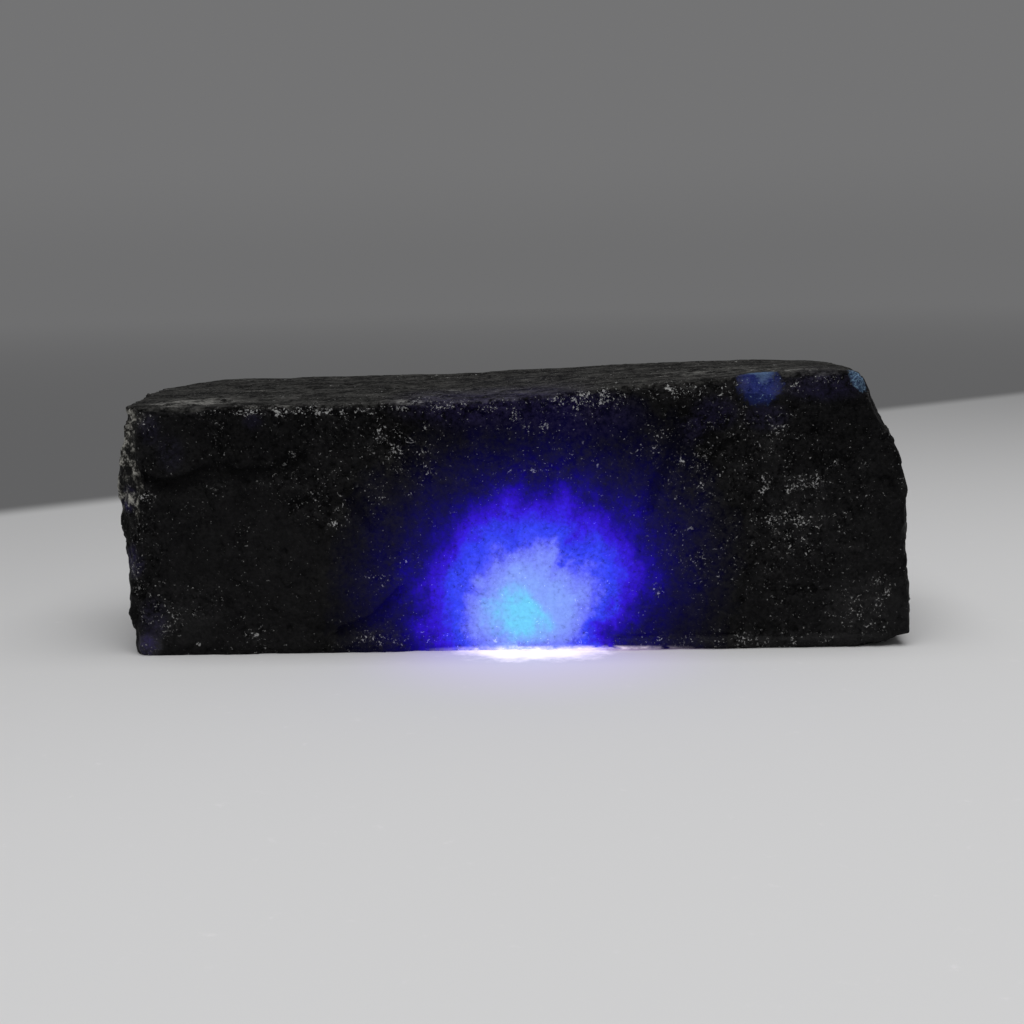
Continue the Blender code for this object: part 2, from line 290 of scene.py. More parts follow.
# Inner light by distance from its middle: distance in millimetres, then the colour as it is seen.
GLOW_BANDS = (
    (0.0, (0.228, 0.375, 0.985)),
    (3.6, (0.220, 0.335, 0.980)),
    (5.2, (0.190, 0.255, 0.975)),
    (6.4, (0.150, 0.185, 0.965)),
    (7.3, (0.092, 0.108, 0.960)),
    (8.1, (0.046, 0.066, 0.930)),
    (9.0, (0.030, 0.048, 0.850)),
    (10.1, (0.032, 0.033, 0.800)),
    (11.4, (0.031, 0.010, 0.690)),
    (12.6, (0.023, 0.004, 0.510)),
    (13.7, (0.0088, 0.0016, 0.290)),
    (14.8, (0.0036, 0.0008, 0.148)),
    (16.0, (0.0020, 0.0005, 0.074)),
    (17.8, (0.0010, 0.0003, 0.036)),
    (20.2, (0.0006, 0.0002, 0.016)),
    (23.0, (0.0002, 0.0001, 0.0045)),
    (26.0, (0.0, 0.0, 0.0)),
)
GLOW_END = GLOW_BANDS[-1][0]

# Shapes in the inner light as seen from the front: places and half sizes in millimetres. The lobe
# widens it to the right, the bay bites into it below, the crack is a dark slit above, and the core
# is its cyan middle, squashed and cut off at a straight edge.
LOBE_PLACE = (7.9, 0.0, 7.0)
LOBE_SQUASH = (1.0, 0.0, 0.80)
BAY = ((10.0, 0.0, 2.6), (2.4, 0.0, 1.9))
CRACK_PLACE = (5.9, 0.0, 11.8)
CRACK_SIZE = (1.1, 0.0, 4.6)
CRACK_LEAN = math.radians(-26.0)
CORE_PLACE = (0.9, 0.0, 5.0)
CORE_SQUASH = (0.165, 0.0, 0.25)
CORE_EDGE = ((3.2, 0.0, 5.4), (0.79, 0.0, 0.61))

# The light that seeps through the gap under the front edge: its place but for y, and half sizes.
SEEP_ACROSS = 5.0
SEEP_HEIGHT = 0.1
SEEP_SIZE = (19.0, 4.0, 0.75)

# How far the worn front face lies inside the box of the stone, in millimetres.
FRONT_WEAR = 0.45

# Torchlight spilt on the floor: middles and half sizes in millimetres, of the bright patch and of
# the haze around it.
SPILL = ((2.4, -12.0, 0.0), (14.5, 11.0, 0.0))
HAZE = ((2.5, -12.0, 0.0), (26.0, 30.0, 0.0))

# The slanted line where the floor passes into the backdrop: a point of it and the way across it,
# in metres.
FLOOR_EDGE = ((-0.095, 0.110, 0.0), (-0.652, 0.758, 0.0))

# How far the floor lies below the base of the stone, so that the two faces stay apart.
FLOOR_DROP = 0.02 * MM

# How far the skin has to turn upwards, endwards, frontwards or downwards before it counts as
# sawn, as an end, as the front or as an underside: not yet, and fully.
SAWN_TURN = (0.72, 0.92)
END_TURN = (0.35, 0.75)
FRONT_TURN = (-0.1, 0.3)
UNDER_TURN = (0.1, 0.5)

# How far the skin has to turn frontwards to take the cracks, and downwards to be cut flat.
CRACKED_TURN = 0.5
BASE_TURN = 0.35

# How far an edge stands out from the skin smoothed around it, in millimetres, before it is bitten
# or worn: not yet, and fully.
BITTEN_EDGE = (0.08, 0.30)
WORN_EDGE = (0.04, 0.26)

# The hollow under the right end, in millimetres: the heights and the x between which its skin
# passes into that of the end.
HEEL_HEIGHT = (0.5, 5.0)
HEEL_ACROSS = (47.6, 44.0)

# The pale crust of the left end, in millimetres: the heights it begins at, those where it reaches
# further in, how far out it lies, and the depths over which it thins towards the back.
CRUST_FOOT = (17.0, 20.0)
CRUST_HEAD = (28.0, 30.0)
CRUST_OUTWARD = (45.5, 46.9)
CRUST_DEPTH = (4.0, -12.0)

# Seed of the noise. Without it, its vectors start from the clock and differ from run to run.
NOISE_SEED = 1

# Factors that keep the random draws of one cell apart.
PIT_CHANCE = 37.7
PIT_REACH = 19.3
FACET_LEAN = 23.1

# What the skin tells its finish at each point.
SKIN_LAYERS = ("upward", "hollow_shade", "dusty", "tone_and_floor_light", "violet", "crust", "swept")

# The black that the painted shade of the floor darkens towards.
SHADE_BLACK = (0.0, 0.0, 0.0)
ORIGIN = (0.0, 0.0, 0.0)


class SapphireShape(PropertyGroup):
    """Sizes of the relief that the skin of the stone carries."""

    grid: FloatProperty(
        name="Grid",
        description="Side of the voxels that the skin is meshed with",
        default=0.32 * MM,
        min=0.25 * MM,
        unit="LENGTH",
        precision=5,
    )
    triangles: IntProperty(
        name="Triangles",
        description="Triangles of the finished skin",
        default=190000,
        min=1000,
    )
    swell_depth: FloatProperty(
        name="Swell",
        description="Depth of the broad unevenness of broken faces",
        default=0.16 * MM,
        unit="LENGTH",
        precision=5,
    )
    facet_depth: FloatProperty(
        name="Facet depth",
        description="Depth of the small flat facets of broken faces",
        default=0.34 * MM,
        unit="LENGTH",
        precision=5,
    )
    facet_size: FloatProperty(
        name="Facet size",
        description="Width of one facet",
        default=4.2 * MM,
        unit="LENGTH",
        precision=5,
    )
    grain_depth: FloatProperty(
        name="Grain depth",
        description="Depth of the crystalline grain of broken faces",
        default=0.24 * MM,
        unit="LENGTH",
        precision=5,
    )
    grain_size: FloatProperty(
        name="Grain size",
        description="Width of one grain",
        default=1.5 * MM,
        unit="LENGTH",
        precision=5,
    )
    pit_depth: FloatProperty(
        name="Pit depth",
        description="Depth of the largest torn pits",
        default=0.34 * MM,
        unit="LENGTH",
        precision=5,
    )
    pit_spacing: FloatProperty(
        name="Pit spacing",
        description="Distance between neighbouring pits",
        default=1.9 * MM,
        unit="LENGTH",
        precision=5,
    )
    saw_depth: FloatProperty(
        name="Saw marks",
        description="Depth of the lengthwise marks that the saw left on the top",
        default=0.06 * MM,
        unit="LENGTH",
        precision=5,
    )
    saw_spacing: FloatProperty(
        name="Saw mark spacing",
        description="Distance between neighbouring saw marks",
        default=1.3 * MM,
        unit="LENGTH",
        precision=5,
    )
    edge_depth: FloatProperty(
        name="Edge chips",
        description="Depth of the small bites along the edges",
        default=0.55 * MM,
        unit="LENGTH",
        precision=5,
    )
    edge_spacing: FloatProperty(
        name="Edge chip spacing",
        description="Distance between neighbouring bites along the edges",
        default=2.1 * MM,
        unit="LENGTH",
        precision=5,
    )
    end_skin: FloatProperty(
        name="End skin",
        description="How far the skin of the broken ends stands out before it is worn in",
        default=0.4 * MM,
        unit="LENGTH",
        precision=5,
    )
    heel_skin: FloatProperty(
        name="Heel skin",
        description="How far the skin under the right end stands out before it is worn in",
        default=0.7 * MM,
        unit="LENGTH",
        precision=5,
    )
    smoothing: IntProperty(
        name="Edge reach",
        description="Smoothing rounds that tell the edges and hollows from the flats",
        default=10,
        min=1,
    )


class SapphireFinish(PropertyGroup):
    """Colours of the stone and of the light inside it."""

    body: FloatVectorProperty(
        name="Body",
        description="The nearly opaque blue-black of broken faces",
        default=(0.0008, 0.0008, 0.0010),
        subtype="COLOR",
    )
    bruise: FloatVectorProperty(
        name="Bruise",
        description="The grey of rubbed and gritty places on broken faces",
        default=(0.0300, 0.0293, 0.0300),
        subtype="COLOR",
    )
    sawn: FloatVectorProperty(
        name="Sawn top",
        description="The dark dusty grey-brown of the sawn top",
        default=(0.0060, 0.0059, 0.0058),
        subtype="COLOR",
    )
    streak: FloatVectorProperty(
        name="Saw streaks",
        description="The paler dust in the saw marks",
        default=(0.190, 0.187, 0.176),
        subtype="COLOR",
    )
    fleck: FloatVectorProperty(
        name="Flecks",
        description="White shards and bruised grains",
        default=(0.56, 0.56, 0.55),
        subtype="COLOR",
    )
    rind: FloatVectorProperty(
        name="Rind",
        description="The pale grains in the crust at the left end",
        default=(0.44, 0.43, 0.39),
        subtype="COLOR",
    )
    rind_shade: FloatVectorProperty(
        name="Rind shade",
        description="The dark grey-olive between those grains",
        default=(0.021, 0.0205, 0.0185),
        subtype="COLOR",
    )
    blue: FloatVectorProperty(
        name="Clean blue",
        description="The blue of freshly flaked places",
        default=(0.0125, 0.0185, 0.128),
        subtype="COLOR",
    )
    # Painted highlight: the bright rim of freshly flaked places; also the colour of their frosted
    # grain.
    pale_blue_and_highlight: FloatVectorProperty(
        name="Pale blue",
        description="The bright rim and grain of freshly flaked places",
        default=(0.130, 0.215, 0.315),
        subtype="COLOR",
    )
    flake_side: FloatVectorProperty(
        name="Flake sides",
        description="The greyer violet at the sides of freshly flaked places",
        default=(0.030, 0.030, 0.092),
        subtype="COLOR",
    )
    # Painted shade: the black that pits and cracks are darkened with, by their depth.
    hollow_shade: FloatVectorProperty(
        name="Hollows",
        description="The black in the bottoms of pits and cracks",
        default=(0.0010, 0.0010, 0.0013),
        subtype="COLOR",
    )
    violet: FloatVectorProperty(
        name="Violet",
        description="The violet-blue that shows in thin edges",
        default=(0.0036, 0.0018, 0.0200),
        subtype="COLOR",
    )
    core: FloatVectorProperty(
        name="Core of the light",
        description="The cyan middle of the light inside the stone",
        default=(0.160, 0.620, 0.975),
        subtype="COLOR",
    )
    seep: FloatVectorProperty(
        name="Seeping light",
        description="The pale light that shows through the gap under the front edge",
        default=(0.85, 0.72, 0.92),
        subtype="COLOR",
    )
    light_place: FloatVectorProperty(
        name="Light place",
        description="Middle of the light inside the stone",
        default=(1.7 * MM, 0.0, 5.6 * MM),
        subtype="TRANSLATION",
        precision=4,
    )


class SapphireStage(PropertyGroup):
    """Floor, backdrop, lamp and camera."""

    floor: FloatVectorProperty(
        name="Floor",
        description="Colour of the pale floor",
        default=(0.748, 0.748, 0.751),
        subtype="COLOR",
    )
    backdrop: FloatVectorProperty(
        name="Backdrop",
        description="Grey of the backdrop behind the stone",
        default=(0.120, 0.120, 0.122),
        subtype="COLOR",
    )
    floor_size: FloatProperty(
        name="Floor size",
        description="Side of the square floor",
        default=4.0,
        unit="LENGTH",
    )
    lamp_power: FloatProperty(
        name="Lamp power",
        description="Power of the soft box overhead",
        default=2.64,
        unit="POWER",
    )
    lamp_size: FloatProperty(
        name="Lamp size",
        description="Side of the soft box overhead",
        default=0.6,
        unit="LENGTH",
    )
    lamp_place: FloatVectorProperty(
        name="Lamp place",
        description="Where the soft box hangs",
        default=(0.06, -0.21, 0.52),
        subtype="TRANSLATION",
    )
    lamp_lean: FloatVectorProperty(
        name="Lamp lean",
        description="How the soft box is turned from facing straight down",
        default=(math.radians(-4.0), math.radians(-5.0), 0.0),
        subtype="EULER",
    )
    horizon: FloatVectorProperty(
        name="Horizon",
        description="Grey of the backdrop where it meets the far floor",
        default=(0.156, 0.156, 0.158),
        subtype="COLOR",
    )
    wall_top: FloatVectorProperty(
        name="Backdrop above",
        description="Grey of the backdrop higher up",
        default=(0.172, 0.172, 0.174),
        subtype="COLOR",
    )
    spill: FloatVectorProperty(
        name="Spilt light",
        description="Torchlight that leaks out under the front edge onto the floor",
        default=(0.62, 0.54, 0.60),
        subtype="COLOR",
    )
    spill_haze: FloatVectorProperty(
        name="Spilt haze",
        description="The weak lavender light around it",
        default=(0.046, 0.013, 0.094),
        subtype="COLOR",
    )
    camera_place: FloatVectorProperty(
        name="Camera place",
        description="Where the camera stands",
        default=(6.36 * MM, -205.02 * MM, 47.59 * MM),
        subtype="TRANSLATION",
        precision=4,
    )
    camera_aim: FloatVectorProperty(
        name="Camera aim",
        description="The point that the camera looks at",
        default=(-0.8 * MM, 0.0, 15.1 * MM),
        subtype="TRANSLATION",
        precision=4,
    )
    camera_roll: FloatProperty(
        name="Camera roll",
        description="How far the camera leans",
        default=math.radians(-1.2),
        subtype="ANGLE",
    )
    field_of_view: FloatProperty(
        name="Field of view",
        description="Angle that the square picture takes in",
        default=math.radians(36.0),
        subtype="ANGLE",
    )


def settled(piece):
    """Replaces the piece's mesh by the one that its modifiers make, and drops the modifiers."""
    view = bpy.context.evaluated_depsgraph_get()
    mesh = bpy.data.meshes.new_from_object(piece.evaluated_get(view))
    piece.modifiers.clear()
    piece.data = mesh
    mesh.name = piece.name


def fine_copy(node, shape):
    """A closed, evenly meshed copy of a CAD node, ready to carry fine relief."""
    welded = bmesh.new()
    welded.from_mesh(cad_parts[node].data)
    bmesh.ops.remove_doubles(welded, verts=welded.verts, dist=0.001 * MM)
    mesh = bpy.data.meshes.new(PIECE)
    welded.to_mesh(mesh)
    welded.free()
    piece = bpy.data.objects.new(PIECE, mesh)
    bpy.context.scene.collection.objects.link(piece)
    grid = piece.modifiers.new("Even grid", "REMESH")
    grid.mode = "VOXEL"
    grid.voxel_size = shape.grid
    settled(piece)
    return piece


def soft_step(value, low, high):
    """0 below low, 1 above high and a smooth rise between them."""
    share = min(max((value - low) / (high - low), 0.0), 1.0)
    return share * share * (3.0 - 2.0 * share)


def pitted(place, spacing, share):
    """Depth of round pits at a place, from 0 to 1. They lie in that share of the cells."""
    distances, seeds = noise.voronoi(place / spacing)
    chance = 0.5 + 0.5 * noise.cell(seeds[0] * PIT_CHANCE)
    if chance > share:
        return 0.0
    reach = 0.22 + 0.30 * noise.cell_vector(seeds[0] * PIT_REACH).x
    bowl = 1.0 - (distances[0] / reach) ** 2
    return max(bowl, 0.0) * (0.4 + 0.6 * chance / share)


def hackly(place, spacing):
    """Height of small flat facets that each lean their own way, as a share of their spacing."""
    _, seeds = noise.voronoi(place / spacing)
    lean = noise.cell_vector(seeds[0] * FACET_LEAN) - Vector((0.5, 0.5, 0.5))
    return (place / spacing - seeds[0]).dot(lean)


def crack_depth(place):
    """How deep the cracks and ledges of the front face are at a place, in metres."""
    deepest = 0.0
    wander = noise.noise_vector(place / (2.4 * MM)) * 0.45
    here = Vector((place.x, place.z)) / MM + wander.xz
    for points, left, right, depth in FRONT_LINES:
        pieces = zip(points, points[1:])
        offset, on_left = min(from_line(here, Vector(start), Vector(end)) for start, end in pieces)
        share = soft_step(1.0 - offset / (left if on_left else right), 0.0, 1.0)
        deepest = max(deepest, depth * share)
    return deepest * MM


def from_line(point, start, end):
    """Distance from a point to the line between two ends, and whether it is on its left side."""
    along = end - start
    away = point - start
    share = min(max(away.dot(along) / along.length_squared, 0.0), 1.0)
    return (away - along * share).length, along.cross(away) > 0.0


def patch_sum(across, along, rows):
    """Total of several flat patches at a point in millimetres, each strongest in its middle."""
    total = 0.0
    for x, y, wide, high, strength in rows:
        away = math.hypot((across - x) / wide, (along - y) / high)
        if away < 1.0:
            total += strength * soft_step(1.0 - away, 0.0, 0.65)
    return total


def crowding(place, front):
    """How thickly flecks lie at a place. Away from the front face they gather in loose swarms."""
    swarm = 0.10 + 0.6 * soft_step(noise.noise(place / (7.0 * MM)), 0.05, 0.55)
    if front > 0.0:
        rows = patch_sum(place.x / MM, place.z / MM, ALL_FLECKS)
        return front * rows + (1.0 - front) * swarm
    return swarm


def dustiness(place, crowd, worn):
    """Share of the skin that flecks cover: much in swarms and on worn edges, little elsewhere."""
    scatter = soft_step(noise.noise(place / (5.0 * MM)), -0.15, 0.45)
    torn = soft_step(noise.noise(place / (1.3 * MM)), -0.35, 0.25)
    gathered = soft_step(noise.noise(place / (2.6 * MM)), -0.25, 0.45)
    return (crowd * 0.9 + scatter * 0.16) * (torn * 0.8 + 0.2) + worn * (0.12 + gathered * 0.55)


def scratched(across, height):
    """How much pale dust the scratches hold at a point of the front face in millimetres."""
    first, last = SCRATCHED_STRIP
    if not first < across < last:
        return 0.0
    here = Vector((across, height))
    nearest = min(
        from_line(here, Vector(start), Vector(end))[0]
        for points in SCRATCHES
        for start, end in zip(points, points[1:])
    )
    return SCRATCH_STRENGTH * soft_step(nearest, *SCRATCH_REACH)


def left_swell(height):
    """How far the left end swells out at a height in millimetres, in metres."""
    middle, half, most = LEFT_SWELL
    return most * MM * soft_step(1.0 - abs(height - middle) / half, 0.0, 0.7)


def crusted(place, facing):
    """How much pale crust the left end has at a place, more than 1 in its palest grains."""
    ragged = noise.noise(place / (1.1 * MM))
    drawn = Vector((place.x, place.y * 0.5, place.z)) / (1.5 * MM)
    loose = 0.15 + 0.85 * soft_step(noise.noise(drawn), -0.35, 0.25)
    high = place.z / MM + 1.6 * noise.noise(place / (3.0 * MM))
    band = soft_step(high, *CRUST_FOOT) * soft_step(facing.z, 0.5, 0.2)
    thinning = 0.25 + 0.75 * soft_step(place.y / MM, *CRUST_DEPTH)
    outward = 0.8 * ragged - place.x / MM + 1.5 * soft_step(high, *CRUST_HEAD)
    crust = soft_step(outward, *CRUST_OUTWARD) * band * loose * thinning
    for x, y, z, reach, strength in RIND_GRAINS:
        away = (place / MM - Vector((x, y, z))).length / reach
        crust += strength * soft_step(1.0 - away, 0.0, 0.6)
    return crust


def roughen(piece, shape):
    """Wears the skin in: grain, pits and cracks, saw marks on the top, bites along the edges."""
    noise.seed_set(NOISE_SEED)
    skin = bmesh.new()
    skin.from_mesh(piece.data)
    original = [v.co.copy() for v in skin.verts]
    for _ in range(shape.smoothing):
        bmesh.ops.smooth_vert(
            skin, verts=skin.verts, factor=0.5, use_axis_x=True, use_axis_y=True, use_axis_z=True
        )
    skin.normal_update()
    layers = {name: skin.verts.layers.float.new(name) for name in SKIN_LAYERS}
    for vertex, place in zip(skin.verts, original):
        facing = vertex.normal.copy()
        edge = (place - vertex.co).dot(facing) / MM
        across, inward, height = place / MM
        proud = shape.end_skin * soft_step(abs(facing.x), *END_TURN)
        if across < 0.0:
            proud *= 1.0 + left_swell(height) / shape.end_skin
        elif height < HEEL_HEIGHT[1]:
            proud *= soft_step(height, *HEEL_HEIGHT)
            heel = shape.heel_skin * soft_step(-facing.z, *UNDER_TURN)
            proud += heel * soft_step(across, *HEEL_ACROSS)
        sawn = soft_step(facing.z, *SAWN_TURN)
        broken = 1.0 - sawn
        warp = noise.noise_vector(place / (1.1 * MM)) * 0.35 * MM
        swell = 0.5 + 0.5 * noise.fractal(place / (6.0 * MM), 0.8, 2.0, 3)
        facets = 0.5 + hackly(place + warp, shape.facet_size)
        grain = 0.5 + hackly(place + warp, shape.grain_size)
        pits = pitted(place + 1.5 * warp, shape.pit_spacing, 0.5 * broken + 0.12)
        lengthwise = Vector((place.x / (22.0 * MM), place.y / shape.saw_spacing, 0.0))
        marks = 0.5 + 0.5 * noise.fractal(lengthwise, 0.7, 2.1, 3)
        bites = soft_step(edge, *BITTEN_EDGE) * pitted(place + warp, shape.edge_spacing, 0.8)
        cracks = crack_depth(place) if -facing.y > CRACKED_TURN else 0.0
        depth = (
            broken * shape.swell_depth * swell
            + (broken + 0.15 * sawn) * shape.facet_depth * facets
            + (broken + 0.35 * sawn) * shape.grain_depth * grain
            + sawn * shape.saw_depth * marks
            + shape.pit_depth * pits
            + shape.edge_depth * bites
            + cracks
        )
        front = soft_step(-facing.y, *FRONT_TURN)
        worn = soft_step(edge, *WORN_EDGE)
        dusty = dustiness(place, crowding(place, front), worn)
        dusty += front * scratched(across, height)
        drift = noise.noise(place / (9.0 * MM)) + 0.6 * noise.noise(place / (4.0 * MM))
        patches = patch_sum(across, height, TONE_AND_FLOOR_LIGHT_PATCHES) if front > 0.0 else 0.0
        told = {
            "upward": facing.z,
            # Depth of pits and cracks, by which they are darkened with painted shade.
            "hollow_shade": (shape.pit_depth * pits + cracks) / MM,
            "dusty": dusty * (1.0 - 0.35 * sawn),
            # Front tone, with painted light from the floor on the strip along the bottom edge.
            "tone_and_floor_light": 0.222 + 0.035 * drift + 0.04 * dusty + front * patches,
            "violet": soft_step(-inward, 2.0, 14.0) * patch_sum(across, height, VIOLET_PATCHES),
            "crust": crusted(place, facing),
            "swept": sawn * patch_sum(across, inward, TOP_STREAKS),
        }
        for name, value in told.items():
            vertex[layers[name]] = value
        vertex.co = place + facing * (proud - depth)
        if place.z < BASE_BAND and -facing.z > BASE_TURN:
            vertex.co.z = 0.0
        for axis in range(3):
            vertex.co[axis] = min(max(vertex.co[axis], STONE_LOW[axis]), STONE_HIGH[axis])
    skin.to_mesh(piece.data)
    skin.free()


def thinned(piece, triangles):
    """Spends the triangles where the relief is sharp, and takes them off flat ground."""
    made = sum(len(face.vertices) - 2 for face in piece.data.polygons)
    thin = piece.modifiers.new("Fewer triangles", "DECIMATE")
    thin.ratio = min(triangles / made, 1.0)
    settled(piece)
    piece.data.shade_flat()


class Value:
    """One socket of a finish. Arithmetic on it adds Math nodes, so masks read as formulas."""

    def __init__(self, finish, socket):
        self.finish = finish
        self.socket = socket

    def of(self, output):
        """Another output of the same node."""
        return Value(self.finish, self.socket.node.outputs[output])

    def math(self, operation, *others, first=None):
        """This value, or a first one before it, through one Math node."""
        operands = [self, *others] if first is None else [first, self, *others]
        return self.finish.node(
            "ShaderNodeMath", {"operation": operation}, dict(enumerate(operands))
        )

    def __add__(self, other):
        return self.math("ADD", other)

    def __radd__(self, other):
        return self.math("ADD", first=other)

    def __sub__(self, other):
        return self.math("SUBTRACT", other)

    def __rsub__(self, other):
        return self.math("SUBTRACT", first=other)

    def __mul__(self, other):
        return self.math("MULTIPLY", other)

    def __truediv__(self, other):
        return self.math("DIVIDE", other)

    def at_least(self, other):
        """The larger of two values."""
        return self.math("MAXIMUM", other)

    def step(self, low, high):
        """A smooth rise from 0 at low to 1 at high, or a fall where low is the larger."""
        return self.finish.node(
            "ShaderNodeMapRange",
            {"interpolation_type": "SMOOTHSTEP"},
            {"Value": self, "From Min": low, "From Max": high},
        )


class Finish:
    """The node tree of a material or a world, built from formulas."""

    def __init__(self, owner):
        owner.use_nodes = True
        self.tree = owner.node_tree
        self.tree.nodes.clear()

    def node(self, kind, settings=None, inputs=None, output=0):
        """Adds a node: its settings first, then the values or links of its sockets."""
        made = self.tree.nodes.new(kind)
        for name, setting in (settings or {}).items():
            if name == "stops":
                self.set_stops(made.color_ramp, setting)
            else:
                setattr(made, name, setting)
        for name, value in (inputs or {}).items():
            if isinstance(value, Value):
                self.tree.links.new(value.socket, made.inputs[name])
            else:
                made.inputs[name].default_value = value
        return Value(self, made.outputs[output]) if made.outputs else made

    def set_stops(self, ramp, stops):
        """Gives a colour ramp its stops, as (position, colour)."""
        while len(ramp.elements) > 1:
            ramp.elements.remove(ramp.elements[-1])
        for index, (position, colour) in enumerate(stops):
            stop = ramp.elements[0] if index == 0 else ramp.elements.new(position)
            stop.position = position
            stop.color = (*colour, 1.0)

    def vector(self, operation, *operands):
        """One Vector Math node."""
        return self.node(
            "ShaderNodeVectorMath", {"operation": operation}, dict(enumerate(operands))
        )

    def length(self, operand):
        """Length of a vector."""
        return self.node(
            "ShaderNodeVectorMath", {"operation": "LENGTH"}, {0: operand}, "Value"
        )

    def scaled(self, operand, factor):
        """A vector times a number."""
        return self.node(
            "ShaderNodeVectorMath", {"operation": "SCALE"}, {0: operand, "Scale": factor}
        )

    def mix(self, share, first, second):
        """The first colour, passing into the second by share."""
        colours = [c if isinstance(c, Value) else (*c, 1.0) for c in (first, second)]
        return self.node(
            "ShaderNodeMix",
            {"data_type": "RGBA"},
            {"Factor": share, 6: colours[0], 7: colours[1]},
            2,
        )

    def separated(self, operand):
        """The x of a vector. Its y and z are other outputs of the same node."""
        return self.node("ShaderNodeSeparateXYZ", None, {0: operand})

    def turned(self, operand, angle, centre=ORIGIN):
        """A place turned about a centre, as seen from the front."""
        return self.node(
            "ShaderNodeVectorRotate",
            {"rotation_type": "Y_AXIS"},
            {"Vector": operand, "Center": centre, "Angle": angle},
        )

    def beyond(self, place, point, way):
        """How far a place lies past a point, measured along a way."""
        away = self.vector("SUBTRACT", place, point)
        return self.node(
            "ShaderNodeVectorMath", {"operation": "DOT_PRODUCT"}, {0: away, 1: way}, "Value"
        )

    def noise(self, place, size, detail, roughness=0.5):
        """Soft noise with features of that size in the place's own units."""
        return self.node(
            "ShaderNodeTexNoise",
            None,
            {"Vector": place, "Scale": 1.0 / size, "Detail": detail, "Roughness": roughness},
        )

    def attribute(self, name):
        """A number stored on the mesh."""
        return self.node("ShaderNodeAttribute", {"attribute_name": name}, None, "Fac")

    def patch(self, place, middle, reach):
        """1 in the middle of an ellipsoid and 0 from its surface on."""
        away = self.vector("SUBTRACT", place, middle)
        stretched = self.vector("MULTIPLY", away, tuple(1.0 / r if r else 0.0 for r in reach))
        return self.length(stretched).step(1.0, 0.35)

    def scatter(self, place, spacing):
        """Distance to the nearest of many scattered points, and the random numbers of its cell."""
        cell = self.node(
            "ShaderNodeTexVoronoi", {"feature": "F1"}, {"Vector": place, "Scale": 1.0 / spacing}
        )
        return cell, self.node("ShaderNodeSeparateColor", None, {0: cell.of("Color")})

    def dust(self, place, spacing, reach, share):
        """Soft round grains up to that reach across, in that share of the cells of a scatter."""
        cell, chance = self.scatter(place, spacing)
        size = chance.of("Green") * (0.7 * reach) + 0.3 * reach
        grain = (cell * spacing / size).step(1.0, 0.25)
        bright = chance.of("Blue").math("POWER", 2.6) * 0.85 + 0.15
        return grain * bright * (share - chance).step(0.0, 0.06)

    def shards(self, place, spacing, length, width, share):
        """Thin slivers that lie any way round, in that share of the cells of a scatter."""
        cell, chance = self.scatter(place, spacing)
        away = self.vector("SUBTRACT", place, cell.of("Position"))
        turned = self.turned(away, chance * (2.0 * math.pi))
        long_way = chance.of("Green") * (0.7 * length) + 0.5 * length
        stretched = self.vector("MULTIPLY", turned, (1.0, 0.25, length / width))
        sliver = (self.length(stretched) / long_way).step(1.0, 0.6)
        return sliver * (share - chance.of("Blue")).step(0.0, 0.04)


